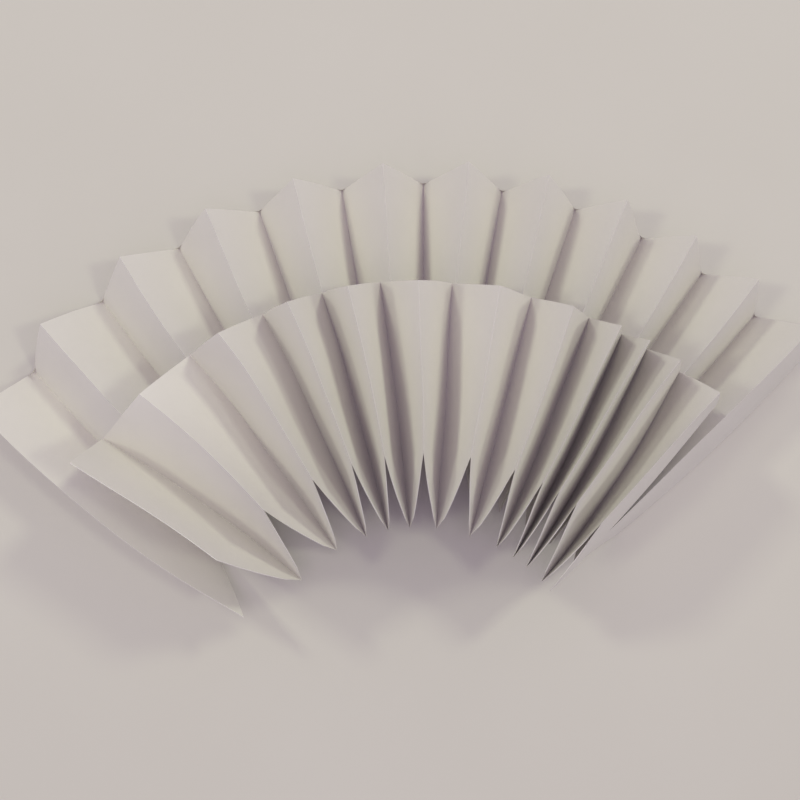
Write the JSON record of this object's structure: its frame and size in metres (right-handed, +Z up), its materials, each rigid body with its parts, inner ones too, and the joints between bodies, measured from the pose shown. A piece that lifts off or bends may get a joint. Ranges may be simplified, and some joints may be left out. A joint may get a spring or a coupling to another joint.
{
  "type": "paper fan",
  "caption": "Two-tier fan of plain white paper folded in even pleats, with the shorter tier spread in an arc over the longer one.",
  "frame": {"origin": "middle of the fan's box, at table level", "axes": "+X to the right along the fan's width, +Y out from the pointed inner edge towards the outer edge, +Z up from the table"},
  "size_m": [0.1346, 0.0716, 0.0264],
  "materials": {
    "paper": "matte"
  },
  "bodies": {
    "root": {"lower_pleated_sheet": "paper", "upper_pleated_sheet": "paper"}
  },
  "joints": []
}
